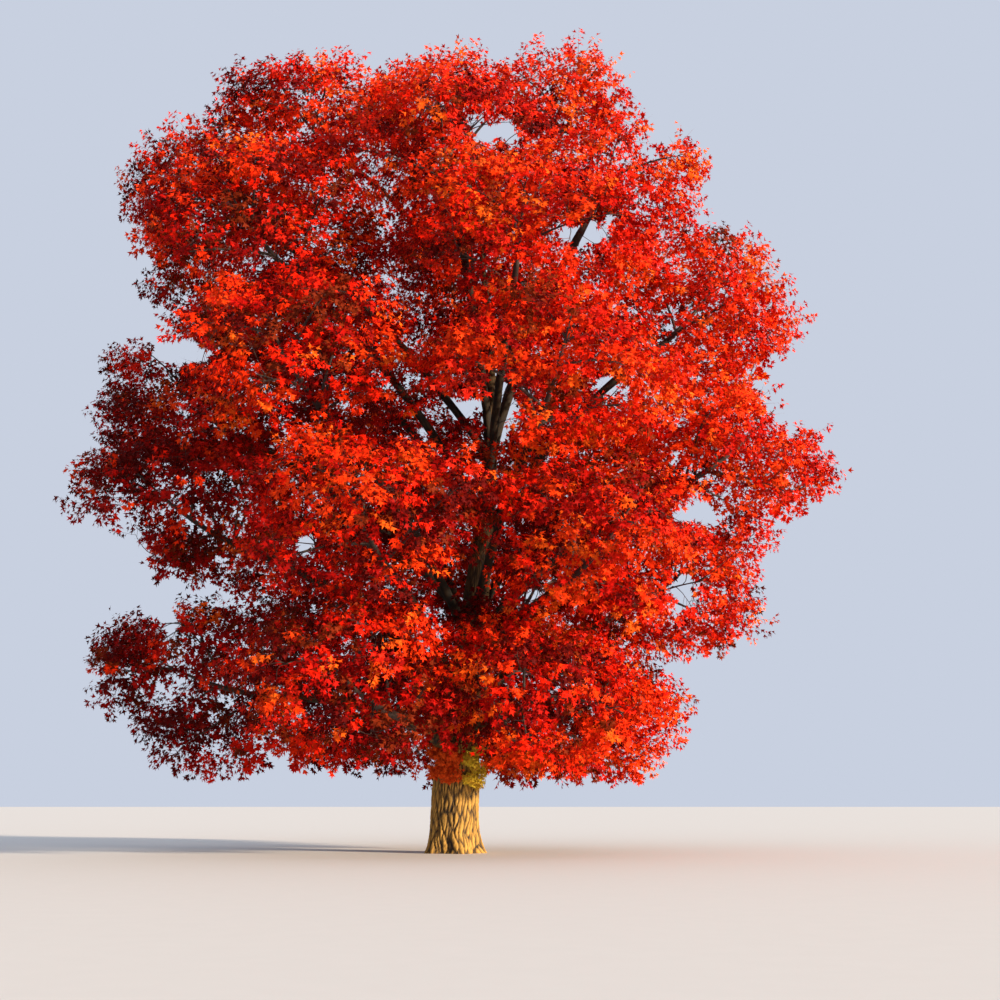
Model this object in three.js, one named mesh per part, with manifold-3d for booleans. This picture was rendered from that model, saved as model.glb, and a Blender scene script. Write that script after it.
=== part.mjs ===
// A red maple in autumn leaf: trunk, boughs and masses of foliage, each its own closed solid.
// Millimetres, +Z up. The origin is the middle of the flat cut under the trunk, at ground level.
// The tree is seen along +Y, with +X to the right.
import * as THREE from "three";
import { mergeVertices } from "three/addons/utils/BufferGeometryUtils.js";
import Module from "manifold-3d";

const wasm = await Module();
wasm.setup();

const M = 1000; // one metre
const GAP = 0.3; // between a limb or a stem and what carries it
const FLATNESS = 0.05; // a point that stands out less than this from a flat face isn't needed

// The trunk. Its leader runs up through the crown, leaning a little to the right on the way.
const TRUNK_HEIGHT = 15.2 * M;
const CHEST_HEIGHT = 1.3 * M;
const TRUNK_RADIUS = 0.48 * M; // at chest height
const TRUNK_TIP_RADIUS = 0.045 * M;
const TRUNK_TAPER = 2; // over 1, it thins faster low down, where the big boughs leave
const TRUNK_LEAN = 0.75 * M; // of its axis, at LEAN_HEIGHT
const LEAN_HEIGHT = 9.5 * M;
const FOOT_OFFSET = -0.07 * M; // of its axis at the ground, as the flare is broader on the right
const ROOT_FLARE = 0.12 * M; // added to the radius at the ground
const RIDGE_DEPTH = 0.08 * M; // of the flare's ridges, one over each main root
const RIDGE_COUNT = 5;
const FLARE_HEIGHT = 0.3 * M; // over which most of the flare dies away
const TRUNK_SIDES = 18;
const TRUNK_RINGS = 12;
const RING_CROWDING = 1.9; // over 1, the rings are closer together near the ground

// The boughs, each one tapering limb.
const BOUGH_SIDES = 5;
const BOUGH_RINGS = 4;
const BOUGH_SHARE = 0.34; // a bough's radius to the trunk's, where it leaves
const BOUGH_TIP_RADIUS = 0.09 * M; // at most, and on a thin trunk
const BOUGH_TIP_SHARE = 0.65; // of the trunk's radius
const BOUGH_ARCH = 0.14; // its rise at the bend, to its length
const FORK_STEP = 0.35 * M; // every other bough of a tier leaves this much higher

// The stem that carries on from a bough in its mass of foliage, and the twigs that branch from it.
const STEM_TAPER = 0.8; // its tip's radius to that of its foot
const STEM_RINGS = 3;
const STEM_REACH = 0.55; // past the mass's middle, to the mass's radius
const STEM_ENTRY = 0.62; // before the mass's middle, to the mass's radius
const STEM_MARGIN = 0.85; // of the way to the side of the mass's space, which it keeps within
const STEM_SWEEP = 0.45; // how far along it holds to the bough's way, before it turns to its own
const TWIG_COUNT = 8;
const TWIG_RADIUS = 0.035 * M;
const TWIG_TIP_RADIUS = 0.034 * M;
const TWIG_SIDES = 3;
const TWIG_REACH = 0.68; // of the way to the side of the mass's space
const TWIG_BACKMOST = -0.7; // a mass's last twig points this far back, as a cosine to its outward way
const TWIG_JITTER = 0.2;
const FIRST_FORK = 0.15; // twigs leave between these places along the stem
const LAST_FORK = 0.9;

// A leaf of these solids stands for a whole spray.
const LEAF_LENGTH = 1.9 * M;
const LEAF_WIDTH = 1.9 * M;
const LEAF_THICKNESS = 0.08 * M;
const LEAF_WAIST = 0.45; // where along it a leaf is widest
const LEAF_SUNK = 0.005 * M; // how far its root passes the twig's middle
const LEAF_LEAN = 0.45; // onward along the twig, to its spread away from the twig
const LAST_LEAF = 0.96; // its place along the twig, and LEAF_STEP between it and the next one
const LEAF_STEP = 0.07;
const STEM_LEAF = 0.985; // the place along the stem of the leaf that carries it on
const LEAF_SIZES = [1, 0.85, 0.7, 0.55]; // tried in turn, where a leaf wouldn't fit
const LIMB_CLEARANCE = 0.008 * M; // between leaves or twigs and the limbs that they pass

// A mass of foliage has the space of a flattened ball, cut off from its neighbours by flat walls.
const FLATTENING = 0.68; // its height to its breadth
const WALL = 0.02 * M; // kept clear on each side of a wall

// The tiers of masses from the ground up, in metres and degrees: how far round the first one is turned, half
// the breadth of a mass, and the height where its bough leaves the trunk. Then for the left (-X), the right
// (+X), and the front and back, the height of a mass's middle and how far out its outer side reaches.
const TIERS = [
  {
    name: "skirt", count: 6, turn: 0, radius: 2.85, fork: 1.8,
    left: [3.6, 7.9], right: [2.9, 5.1], across: [3.1, 5.9],
  },
  {
    name: "low", count: 6, turn: 9, radius: 2.95, fork: 2.8,
    left: [7.0, 8.6], right: [5.6, 7.2], across: [6.0, 7.3],
  },
  {
    name: "middle", count: 6, turn: -7, radius: 2.95, fork: 4.3,
    left: [9.6, 8.6], right: [8.3, 8.6], across: [8.9, 7.5],
  },
  {
    name: "high", count: 5, turn: 0, radius: 3.0, fork: 6.6,
    left: [12.5, 8.3], right: [11.6, 8.0], across: [11.8, 6.9],
  },
  {
    name: "shoulder", count: 4, turn: -4, radius: 2.8, fork: 8.3,
    left: [14.5, 8.0], right: [14.5, 5.9], across: [13.9, 5.9],
  },
];
const CREST = [
  { name: "crest_left", middle: [-3.3, -0.7, 15.8], radius: 2.5, fork: 11.4 },
  { name: "crest_right", middle: [2.4, -0.7, 15.9], radius: 2.5, fork: 12.2 },
  { name: "crest_top", middle: [-0.2, 1.2, 16.7], radius: 2.7, fork: 15.2 },
];
const WAYS = ["right", "back_right", "back", "back_left", "left", "front_left", "front", "front_right"];

const TRUNK_BARK = { color: 0x6f5c45, roughness: 0.9, metalness: 0 };
const BOUGH_BARK = { color: 0x4c4136, roughness: 0.9, metalness: 0 };
const AUTUMN_REDS = [0xc4261a, 0xd63a1c, 0xa81c16, 0xe04a20];
const LEAF_ROUGHNESS = 0.65;

const UP = new THREE.Vector3(0, 0, 1);
const GOLDEN_TURN = Math.PI * (3 - Math.sqrt(5)); // from one twig's way to the next, for even spacing
const vec = (x, y, z) => new THREE.Vector3(x, y, z);
const { lerp, clamp, degToRad } = THREE.MathUtils;

// A seeded source of numbers from 0 to 1.
function dice(seed) {
  let state = seed >>> 0;
  return () => {
    state = (state + 0x6d2b79f5) >>> 0;
    let t = state;
    t = Math.imul(t ^ (t >>> 15), t | 1);
    t ^= t + Math.imul(t ^ (t >>> 7), t | 61);
    return ((t ^ (t >>> 14)) >>> 0) / 4294967296;
  };
}

// A three.js geometry with shared vertices and nothing but their places.
function bare(geometry) {
  geometry.deleteAttribute("normal");
  geometry.deleteAttribute("uv");
  return mergeVertices(geometry);
}

function solidOf(geometry) {
  return new wasm.Manifold(
    new wasm.Mesh({
      numProp: 3,
      vertProperties: geometry.attributes.position.array,
      triVerts: new Uint32Array(geometry.index.array),
    }),
  );
}

function geometryOf(solid) {
  const mesh = solid.getMesh();
  const geometry = new THREE.BufferGeometry();
  geometry.setAttribute("position", new THREE.BufferAttribute(mesh.vertProperties, 3));
  geometry.setIndex(new THREE.BufferAttribute(mesh.triVerts, 1));
  geometry.computeVertexNormals();
  return geometry;
}

// The one body of a solid that counts: loose scraps are dropped, sealed hollows filled, and the points that a
// join leaves in flat faces taken out.
function mainBody(solid) {
  const bodies = solid.decompose();
  const largest = bodies.reduce((best, body) => (body.volume() > best.volume() ? body : best));
  return largest.asOriginal().simplify(FLATNESS);
}

function trunkAxis(z) {
  return vec(FOOT_OFFSET + (TRUNK_LEAN * (1 - Math.cos((Math.PI * z) / LEAN_HEIGHT))) / 2, 0, z);
}

function trunkRadius(z) {
  const share = clamp((TRUNK_HEIGHT - z) / (TRUNK_HEIGHT - CHEST_HEIGHT), 0, 1) ** TRUNK_TAPER;
  return lerp(TRUNK_TIP_RADIUS, TRUNK_RADIUS, share);
}

// The trunk, with its radius grown by a clearance. Its underside and its rings are level.
function trunkSolid(grown) {
  const geometry = bare(new THREE.CylinderGeometry(1, 1, 1, TRUNK_SIDES, TRUNK_RINGS).rotateX(Math.PI / 2));
  const place = geometry.attributes.position;
  for (let i = 0; i < place.count; i++) {
    const z = TRUNK_HEIGHT * (place.getZ(i) + 0.5) ** RING_CROWDING;
    const angle = Math.atan2(place.getY(i), place.getX(i));
    const flare = (ROOT_FLARE + RIDGE_DEPTH * Math.cos(angle * RIDGE_COUNT)) * Math.exp(-z / FLARE_HEIGHT);
    const out = Math.hypot(place.getX(i), place.getY(i)) * (trunkRadius(z) + flare + grown);
    const axis = trunkAxis(z);
    place.setXYZ(i, axis.x + out * Math.cos(angle), axis.y + out * Math.sin(angle), z);
  }
  return solidOf(geometry);
}

// A limb: a cylinder bent along a curve, tapering from one radius to the other.
function limbSolid(curve, base, tip, sides, rings, frames = curve.computeFrenetFrames(rings)) {
  const geometry = bare(new THREE.CylinderGeometry(1, 1, 1, sides, rings));
  const place = geometry.attributes.position;
  for (let i = 0; i < place.count; i++) {
    const along = place.getY(i) + 0.5;
    const ring = Math.round(along * rings);
    const radius = lerp(base, tip, along);
    const point = curve.getPointAt(ring / rings);
    point.addScaledVector(frames.normals[ring], place.getX(i) * radius);
    point.addScaledVector(frames.binormals[ring], -place.getZ(i) * radius);
    place.setXYZ(i, point.x, point.y, point.z);
  }
  return solidOf(geometry);
}

// A leaf: an octahedron drawn out from its root, its broad side turned to face a way.
function leafSolid(root, along, facing, size) {
  const geometry = bare(new THREE.OctahedronGeometry(1));
  const across = along.clone().cross(facing);
  const place = geometry.attributes.position;
  for (let i = 0; i < place.count; i++) {
    const y = place.getY(i);
    const share = y > 0.5 ? 1 : y < -0.5 ? 0 : LEAF_WAIST;
    const point = root.clone().addScaledVector(along, share * LEAF_LENGTH * size - LEAF_SUNK);
    point.addScaledVector(across, (place.getX(i) * LEAF_WIDTH * size) / 2);
    point.addScaledVector(facing, (place.getZ(i) * LEAF_THICKNESS) / 2);
    place.setXYZ(i, point.x, point.y, point.z);
  }
  return solidOf(geometry);
}

// Where each mass of foliage stands, and the height where its bough leaves the trunk.
function layOutMasses() {
  const masses = [];
  for (const tier of TIERS) {
    for (let i = 0; i < tier.count; i++) {
      const degrees = tier.turn + (360 * i) / tier.count;
      const angle = degToRad(degrees);
      const side = Math.cos(angle) > 0 ? tier.right : tier.left;
      const [height, reach] = side.map((size, k) => lerp(tier.across[k], size, Math.cos(angle) ** 2) * M);
      const out = reach - tier.radius * M;
      masses.push({
        name: `${tier.name}_${WAYS[Math.round(degrees / 45 + 8) % 8]}`,
        middle: vec(out * Math.cos(angle), out * Math.sin(angle), height),
        radius: tier.radius * M,
        fork: tier.fork * M + (i % 2) * FORK_STEP,
      });
    }
  }
  for (const top of CREST) {
    const middle = vec(...top.middle).multiplyScalar(M);
    masses.push({ name: top.name, middle, radius: top.radius * M, fork: top.fork * M });
  }
  masses.forEach((mass, i) => {
    mass.seed = i + 1;
    mass.walls = wallsOf(mass, masses);
    mass.tipRadius = Math.min(BOUGH_TIP_RADIUS, BOUGH_TIP_SHARE * trunkRadius(mass.fork));
    mass.outward = mass.middle.clone().sub(trunkAxis(mass.fork)).normalize();
  });
  return masses;
}

// A point or way in the rounded space, where every mass is a true ball.
const rounded = (p) => vec(p.x, p.y, p.z / FLATTENING);

// The flat walls between a mass and its neighbours, in the rounded space round its middle.
function wallsOf(mass, masses) {
  return masses
    .filter((other) => other !== mass)
    .map((other) => {
      const normal = rounded(other.middle).sub(rounded(mass.middle));
      const apart = normal.length();
      const offset = (apart ** 2 + mass.radius ** 2 - other.radius ** 2) / (2 * apart) - WALL;
      return { normal: normal.divideScalar(apart), offset };
    });
}

function inSpace(mass, point) {
  const from = rounded(point).sub(rounded(mass.middle));
  return from.length() < mass.radius && mass.walls.every((wall) => from.dot(wall.normal) < wall.offset);
}

// The point in a mass's space on a way from its middle, at a share of the way to the space's side. The
// share of its radius that it may go is capped too.
function pointAlong(mass, way, share, cap = 1) {
  const rise = rounded(way);
  const unit = rise.length();
  let room = mass.radius;
  for (const wall of mass.walls) {
    const facing = rise.dot(wall.normal) / unit;
    if (facing > 0) {
      room = Math.min(room, wall.offset / facing);
    }
  }
  const reach = Math.min(room * share, mass.radius * cap) / unit;
  return mass.middle.clone().addScaledVector(way, reach);
}

// The curve of a bough from the trunk's axis, and of the stem that carries on from it.
function routeOf(mass) {
  const foot = trunkAxis(mass.fork);
  const isTop = mass.fork === TRUNK_HEIGHT;
  const entry = isTop ? foot : pointAlong(mass, mass.outward.clone().negate(), STEM_MARGIN, STEM_ENTRY);
  const bend = foot.clone().lerp(entry, 0.5);
  bend.z += BOUGH_ARCH * foot.distanceTo(entry);
  const bough = new THREE.QuadraticBezierCurve3(foot, bend, entry);
  const onward = isTop ? UP : bough.getTangentAt(1);
  const tip = pointAlong(mass, mass.outward, STEM_MARGIN, STEM_REACH);
  const start = entry.clone().addScaledVector(onward, GAP);
  const turn = entry.clone().addScaledVector(onward, entry.distanceTo(tip) * STEM_SWEEP);
  return { bough, stem: new THREE.QuadraticBezierCurve3(start, turn, tip) };
}

// The twigs of a mass: lines from its stem to places spread evenly over the outer side of its space.
function twigsOf(mass, stem, roll) {
  const twigs = [];
  const turn = roll() * 2 * Math.PI;
  const level = vec(-mass.outward.y, mass.outward.x, 0).normalize();
  const upright = mass.outward.clone().cross(level);
  for (let i = 0; i < TWIG_COUNT; i++) {
    const onward = lerp(1, TWIG_BACKMOST, (i + 0.5) / TWIG_COUNT) + (roll() - 0.5) * TWIG_JITTER;
    const angle = turn + GOLDEN_TURN * i + (roll() - 0.5) * TWIG_JITTER;
    const spread = Math.sqrt(Math.max(0, 1 - onward ** 2));
    const way = mass.outward.clone().multiplyScalar(onward);
    way.addScaledVector(level, spread * Math.cos(angle));
    way.addScaledVector(upright, spread * Math.sin(angle));
    const fork = lerp(FIRST_FORK, LAST_FORK, clamp(onward, 0, 1));
    twigs.push(new THREE.LineCurve3(stem.getPointAt(fork), pointAlong(mass, way, TWIG_REACH)));
  }
  return twigs;
}

// The frame of a straight twig: its first face looks down, or outward where the twig is upright.
function twigFrame(twig, outward) {
  const tangent = twig.getTangentAt(0);
  const down = Math.abs(tangent.z) < 0.9 ? UP.clone().negate() : outward.clone();
  down.addScaledVector(tangent, -down.dot(tangent)).normalize();
  const side = down.clone().cross(tangent);
  return { tangent, down, side, normals: [side, side], binormals: [down, down] };
}

// The leaves of a twig: each stands out of its own face of the twig, its broad side facing along the twig.
function leavesOf(twig, { tangent, down, side }) {
  return [0, 1, 2].map((k) => {
    const turn = (2 * Math.PI * k) / TWIG_SIDES;
    const along = down.clone().multiplyScalar(Math.cos(turn)).addScaledVector(side, Math.sin(turn));
    along.addScaledVector(tangent, LEAF_LEAN).normalize();
    const facing = tangent.clone().addScaledVector(along, -tangent.dot(along)).normalize();
    return { root: twig.getPointAt(LAST_LEAF - LEAF_STEP * k), along, facing };
  });
}

// The stem of a mass with the one leaf that carries it on.
function stemSpray(mass, stem) {
  const along = stem.getTangentAt(1);
  const facing = UP.clone().addScaledVector(along, -along.z).normalize();
  const wood = limbSolid(stem, mass.tipRadius, mass.tipRadius * STEM_TAPER, TWIG_SIDES, STEM_RINGS);
  return { wood, leaves: [{ root: stem.getPointAt(STEM_LEAF), along, facing }] };
}

const isClear = (solid, others) => others.every((other) => solid.intersect(other).isEmpty());

// A mass of foliage: its stem, with twigs and leaves fused on. A twig that would leave the mass's space, touch a
// limb or keep no leaf is skipped. So is a leaf that would touch a limb, another twig or another leaf.
function massSolid(mass, stem, limbs) {
  const fits = (solid) => {
    const place = solid.getMesh().vertProperties;
    for (let i = 0; i < place.length; i += 3) {
      if (!inSpace(mass, vec(place[i], place[i + 1], place[i + 2]))) {
        return false;
      }
    }
    return isClear(solid, [limbs]);
  };
  const sprays = [stemSpray(mass, stem)];
  for (const twig of twigsOf(mass, stem, dice(mass.seed))) {
    const frame = twigFrame(twig, mass.outward);
    const wood = limbSolid(twig, TWIG_RADIUS, TWIG_TIP_RADIUS, TWIG_SIDES, 1, frame);
    if (fits(wood)) {
      sprays.push({ wood, leaves: leavesOf(twig, frame) });
    }
  }
  const bodies = [sprays[0].wood];
  const leaves = [];
  for (const spray of sprays) {
    const otherWood = sprays.map(({ wood }) => wood).filter((wood) => wood !== spray.wood);
    const before = leaves.length;
    for (const { root, along, facing } of spray.leaves) {
      const tries = LEAF_SIZES.map((size) => leafSolid(root, along, facing, size));
      const leaf = tries.find((solid) => fits(solid) && isClear(solid, otherWood.concat(leaves)));
      leaves.push(...(leaf ? [leaf] : []));
    }
    if (leaves.length > before) {
      bodies.push(spray.wood);
    }
  }
  return mainBody(wasm.Manifold.union(bodies.concat(leaves)));
}

// The limb that carries a mass, with its radius grown by a clearance.
function boughSolid(mass, grown) {
  const base = Math.max(BOUGH_SHARE * trunkRadius(mass.fork), mass.tipRadius);
  return limbSolid(routeOf(mass).bough, base + grown, mass.tipRadius + grown, BOUGH_SIDES, BOUGH_RINGS);
}

function namedMesh(name, solid, finish) {
  const mesh = new THREE.Mesh(geometryOf(solid), new THREE.MeshStandardMaterial(finish));
  mesh.name = name;
  return mesh;
}

const masses = layOutMasses();
const carried = masses.filter((mass) => mass.fork < TRUNK_HEIGHT); // all but the one on the trunk's tip
const trunkCutter = trunkSolid(GAP);
const limbs = wasm.Manifold.union([
  trunkSolid(LIMB_CLEARANCE),
  ...carried.map((mass) => boughSolid(mass, LIMB_CLEARANCE)),
]);

const tree = new THREE.Group();
tree.add(namedMesh("trunk", trunkSolid(0), TRUNK_BARK));
for (const mass of carried) {
  tree.add(namedMesh(`bough_${mass.name}`, mainBody(boughSolid(mass, 0).subtract(trunkCutter)), BOUGH_BARK));
}
masses.forEach((mass, i) => {
  const finish = { color: AUTUMN_REDS[i % AUTUMN_REDS.length], roughness: LEAF_ROUGHNESS, metalness: 0 };
  tree.add(namedMesh(`foliage_${mass.name}`, massSolid(mass, routeOf(mass).stem, limbs), finish));
});

export default tree;
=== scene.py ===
"""A red maple in autumn leaf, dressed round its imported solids.

The trunk and boughs get bark with real relief. Each mass of foliage is grown again by the rule that its
solid follows, and carried on to branchlets, shoots and single leaves. Lengths are in metres, +Z is up, and
the tree is seen along +Y with +X to the right.
"""

import math
from types import SimpleNamespace

import bmesh
import bpy
import numpy as np
from bpy.props import FloatProperty, FloatVectorProperty, IntProperty, PointerProperty
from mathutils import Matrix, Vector


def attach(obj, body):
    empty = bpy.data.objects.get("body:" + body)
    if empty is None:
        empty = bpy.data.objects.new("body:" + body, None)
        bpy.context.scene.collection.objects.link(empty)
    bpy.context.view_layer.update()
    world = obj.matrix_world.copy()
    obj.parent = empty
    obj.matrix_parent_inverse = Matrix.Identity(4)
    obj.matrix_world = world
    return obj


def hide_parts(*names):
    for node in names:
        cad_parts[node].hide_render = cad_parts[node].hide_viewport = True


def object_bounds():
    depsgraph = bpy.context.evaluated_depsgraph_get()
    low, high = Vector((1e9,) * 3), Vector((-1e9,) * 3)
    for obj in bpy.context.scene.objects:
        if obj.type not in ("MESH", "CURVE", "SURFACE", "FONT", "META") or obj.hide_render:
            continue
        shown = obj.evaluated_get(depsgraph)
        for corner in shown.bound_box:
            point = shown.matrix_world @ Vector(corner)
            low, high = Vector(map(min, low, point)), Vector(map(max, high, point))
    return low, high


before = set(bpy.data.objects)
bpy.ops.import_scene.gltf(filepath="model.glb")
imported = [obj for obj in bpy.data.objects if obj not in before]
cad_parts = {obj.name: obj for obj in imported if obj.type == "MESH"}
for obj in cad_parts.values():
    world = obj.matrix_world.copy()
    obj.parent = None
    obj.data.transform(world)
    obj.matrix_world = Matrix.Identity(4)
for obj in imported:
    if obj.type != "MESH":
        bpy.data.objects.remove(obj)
CAD_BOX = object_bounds()

bl_info = {
    "name": "Red Maple",
    "version": (1, 0, 0),
    "blender": (4, 5, 0),
    "location": "View3D > Sidebar > Maple",
    "description": "Dresses the packed solids of a red maple in bark, twigs and autumn leaves",
    "category": "Add Mesh",
}

# The trunk, as its solid has it.
TRUNK_HEIGHT = 15.2
CHEST_HEIGHT = 1.3
TRUNK_RADIUS = 0.48
TRUNK_TIP_RADIUS = 0.045
TRUNK_TAPER = 2
TRUNK_LEAN = 0.75
LEAN_HEIGHT = 9.5
FOOT_OFFSET = -0.07
ROOT_FLARE = 0.12
RIDGE_DEPTH = 0.08
RIDGE_COUNT = 5
FLARE_HEIGHT = 0.3

# The boughs, stems and twigs, as the solids have them.
BOUGH_SHARE = 0.34
BOUGH_TIP_RADIUS = 0.09
BOUGH_TIP_SHARE = 0.65
BOUGH_ARCH = 0.14
FORK_STEP = 0.35
STEM_REACH = 0.55
STEM_ENTRY = 0.62
STEM_MARGIN = 0.85
STEM_SWEEP = 0.45
TWIG_COUNT = 8
TWIG_REACH = 0.68
TWIG_BACKMOST = -0.7
TWIG_JITTER = 0.2
FIRST_FORK = 0.15
LAST_FORK = 0.9
GOLDEN_TURN = math.pi * (3 - math.sqrt(5))

# The bark's relief, and how the limbs' paths are laid out.
BOUGH_FURROW = 0.12  # the depth of a bough's furrows, to its radius
FURROW_BREADTH = 0.42  # from a furrow's middle to the flat of a plate, to the plate's breadth
PATH_POINTS = 121  # of a bough or a stem, before they are spaced evenly
TWIG_POINTS = 13
TWIG_ARCH = 0.1  # to the twig's length
STEEP = 0.8  # a rod that rises more than this, to its length, has its sides laid out from the x axis

# The masses of foliage, as the solids have them: tiers from the ground up, then the crest. A tier has the
# height and reach of its masses on the left, on the right, and in front and behind.
FLATTENING = 0.68
WALL = 0.02  # how far a mass stays off the flat wall between it and the next
TIERS = (
    # skirt
    SimpleNamespace(count=6, turn=0, radius=2.85, fork=1.8,
                    left=(3.6, 7.9), right=(2.9, 5.1), across=(3.1, 5.9)),
    # low
    SimpleNamespace(count=6, turn=9, radius=2.95, fork=2.8,
                    left=(7.0, 8.6), right=(5.6, 7.2), across=(6.0, 7.3)),
    # middle
    SimpleNamespace(count=6, turn=-7, radius=2.95, fork=4.3,
                    left=(9.6, 8.6), right=(8.3, 8.6), across=(8.9, 7.5)),
    # high
    SimpleNamespace(count=5, turn=0, radius=3.0, fork=6.6,
                    left=(12.5, 8.3), right=(11.6, 8.0), across=(11.8, 6.9)),
    # shoulder
    SimpleNamespace(count=4, turn=-4, radius=2.8, fork=8.3,
                    left=(14.5, 8.0), right=(14.5, 5.9), across=(13.9, 5.9)),
)
CREST = (
    SimpleNamespace(middle=(-3.3, -0.7, 15.8), radius=2.5, fork=11.4),
    SimpleNamespace(middle=(2.4, -0.7, 15.9), radius=2.5, fork=12.2),
    SimpleNamespace(middle=(-0.2, 1.2, 16.7), radius=2.7, fork=15.2),
)

# The camera, which stands at eye height a little below the tree's foot and looks up.
EYE = (0.875, -29.4, 1.05)
EYE_PITCH = math.radians(12.1)
EYE_LENS = 50.4  # millimetres, and so is the sensor's width
SENSOR_WIDTH = 36

# Where the crown lets the sky through: the middle and half sizes of each gap, across and up, in the trunk's
# plane as seen from the camera.
SKY_GAPS = {
    "left notch": ((-6.05, 10.66), (0.75, 0.24)),
    "top": ((0.76, 15.94), (0.6, 0.3)),
    "upper right": ((2.61, 13.49), (0.55, 0.27)),
    "round the leader": ((0.86, 9.5), (0.36, 0.8)),
    "left of the leader": ((0.09, 9.46), (0.35, 0.25)),
    "right fork": ((3.28, 9.96), (0.28, 0.22)),
    "lower fork": ((1.55, 5.3), (0.23, 0.17)),
    "right": ((5.13, 7.08), (0.5, 0.27)),
    "right slit": ((4.69, 5.4), (0.25, 0.47)),
    "left fleck": ((-3.18, 6.47), (0.24, 0.18)),
    "left pane": ((-6.1, 4.75), (0.2, 0.28)),
    "before the trunk": ((0.32, 1.74), (0.31, 0.37)),
}

# Where the crown's edge turns in, given in the same way. No twig stands there.
INLETS = {
    "left": ((-7.95, 5.95), (1.3, 0.98)),
    "right": ((7.95, 9.86), (1.26, 0.96)),
    "right of the crest": ((5.27, 17.28), (1.66, 1.46)),
}

# Clumps between the masses, across and up in the trunk's plane as seen from the camera, and how far before
# or behind that plane each place gets one.
FILLED = (
    (-2.0, 13.95), (-1.89, 12.78), (-2.44, 13.4), (-1.16, 11.37), (-3.26, 15.48), (2.93, 16.71),
    (4.87, 12.24), (6.07, 11.53), (5.33, 8.91), (6.11, 9.58), (5.2, 8.35), (5.97, 8.6),
    (6.2, 6.5), (-6.55, 12.15), (-5.95, 11.4), (-6.9, 4.5), (-7.25, 4.1), (-6.5, 4.1),
    (-4.21, 16.26), (-5.02, 16.51), (-7.35, 9.4), (-6.6, 8.6), (-7.15, 8.1), (-6.1, 6.5),
    (-5.6, 6.2), (4.03, 12.12), (5.09, 10.68), (4.52, 8.82), (6.93, 8.41), (-6.36, 6.05),
)
FILLED_DEPTHS = (-1.6, 1.2)

# Clumps that hang below the crown's lower left edge.
DROOPS = ((-5.73, -0.4, 1.95), (-5.3, 0.5, 1.8), (-3.98, -1.5, 1.95), (-2.64, -2.2, 2.0), (-4.6, 0.8, 1.95))

# Where clumps of shoots stand in a mass, and where their branchlets may leave its limbs.
CANDIDATES = 2500  # places tried for clumps in each mass
OUTERMOST = 1.15  # from the side of a mass, to a clump's radius
DEEPEST = 2.5  # from the side of a mass
CROWDING = 1.6  # over 1, more of the places tried are near the side
PUFF_BREADTH = 22  # degrees round the end of a twig, before the hollow between it and the next begins
BACKWARD = -0.2  # a place further back than this in its mass is seen by nobody
BACK_SPACING = 1.25  # how much further apart clumps stand there
CLEARED = 0.9  # of the clumps in a gap
FIRST_BRANCHLET = 0.25  # along a limb
BRANCHLET_PLACES = 10  # on a limb
SHORTEST_BRANCHLET = 0.35  # a place on a limb that is nearer counts as this far
TURN_COST = 0.7  # how much longer a branchlet may be so as not to turn square off its limb

# Clumps along the boughs and round the trunk.
CROWN_FOOT = 4.5  # above the ground, where clumps round the trunk begin
BARE_SHARE = 0.25  # of a bough, from the trunk out
BOUGH_CLUMP_STEP = 0.62
BOUGH_CLUMP_OUT = (0.6, 0.95)  # from the limb
BOUGH_CLUMP_ON = 0.35  # along the limb, from the branchlet's foot
CLEARANCE = 0.5  # from all other clumps

# The branchlet of a clump, which runs on as its limb does and then turns to the clump's middle.
BRANCHLET_POINTS = 6
BRANCHLET_SWEEP = 0.4  # to its length
BRANCHLET_RISE = 0.25  # how far it turns up as it leaves its limb
BRANCHLET_WOBBLE = 0.05
THINNEST = 0.006  # at the foot of a branchlet without length
THICKENING = 0.007  # for each metre of its length
THICKEST = 0.024

# The shoots of a clump: where they leave the branchlet, how evenly they spread, and how long they are.
SHOOTS = 11
FIRST_SHOOT = 0.5  # along the branchlet
LEVEL_SHOOT = 0.72  # along the branchlet, for a shoot that stands square to it
ONWARD_SHOOT = 0.28  # how much further along a shoot starts that points onward
SHOOT_BACKMOST = -0.45  # where 1 is onward and -1 is back
SHOOT_JITTER = 0.15
SHOOT_TURN_JITTER = 0.3
SHOOT_LENGTHS = (0.85, 1.08)  # to the clump's radius
SHOOT_FLATTENING = 0.75
SHOOT_LIFT = 0.03
SHOOT_RADIUS = 0.005

# The leaves of a shoot: pairs that stand crosswise, and one at the tip.
LEAF_PAIRS = (0.31, 0.45, 0.57, 0.68, 0.78, 0.87, 0.94, 0.99)  # along the shoot
LEAF_OUT = 0.8  # how far a paired leaf's stalk points away from the shoot, and onward
LEAF_ON = 0.4
TIP_LEAF_ON = 0.9
LEAF_WOBBLE = 0.3
LEAF_ROLL = 0.35
LEAF_SIZES = (0.72, 1.15)  # to the full length
STALKS = (0.3, 0.75)  # to the leaf's length
STALK_BREADTH = 0.006
FOLDS = (0.05, 0.45)  # of the blade along its middle, and below its curl along its length
CURLS = (-0.35, 0.05)
LOBES = (
    ((0, 0), (0, 0.52), (-0.55, 0.62)),
    ((0, 0), (0.55, 0.62), (0, 0.52)),
    ((-0.2, 0.36), (0.2, 0.36), (0, 1)),
)  # the corners of a leaf's three lobes, across and along, to its length

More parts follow.
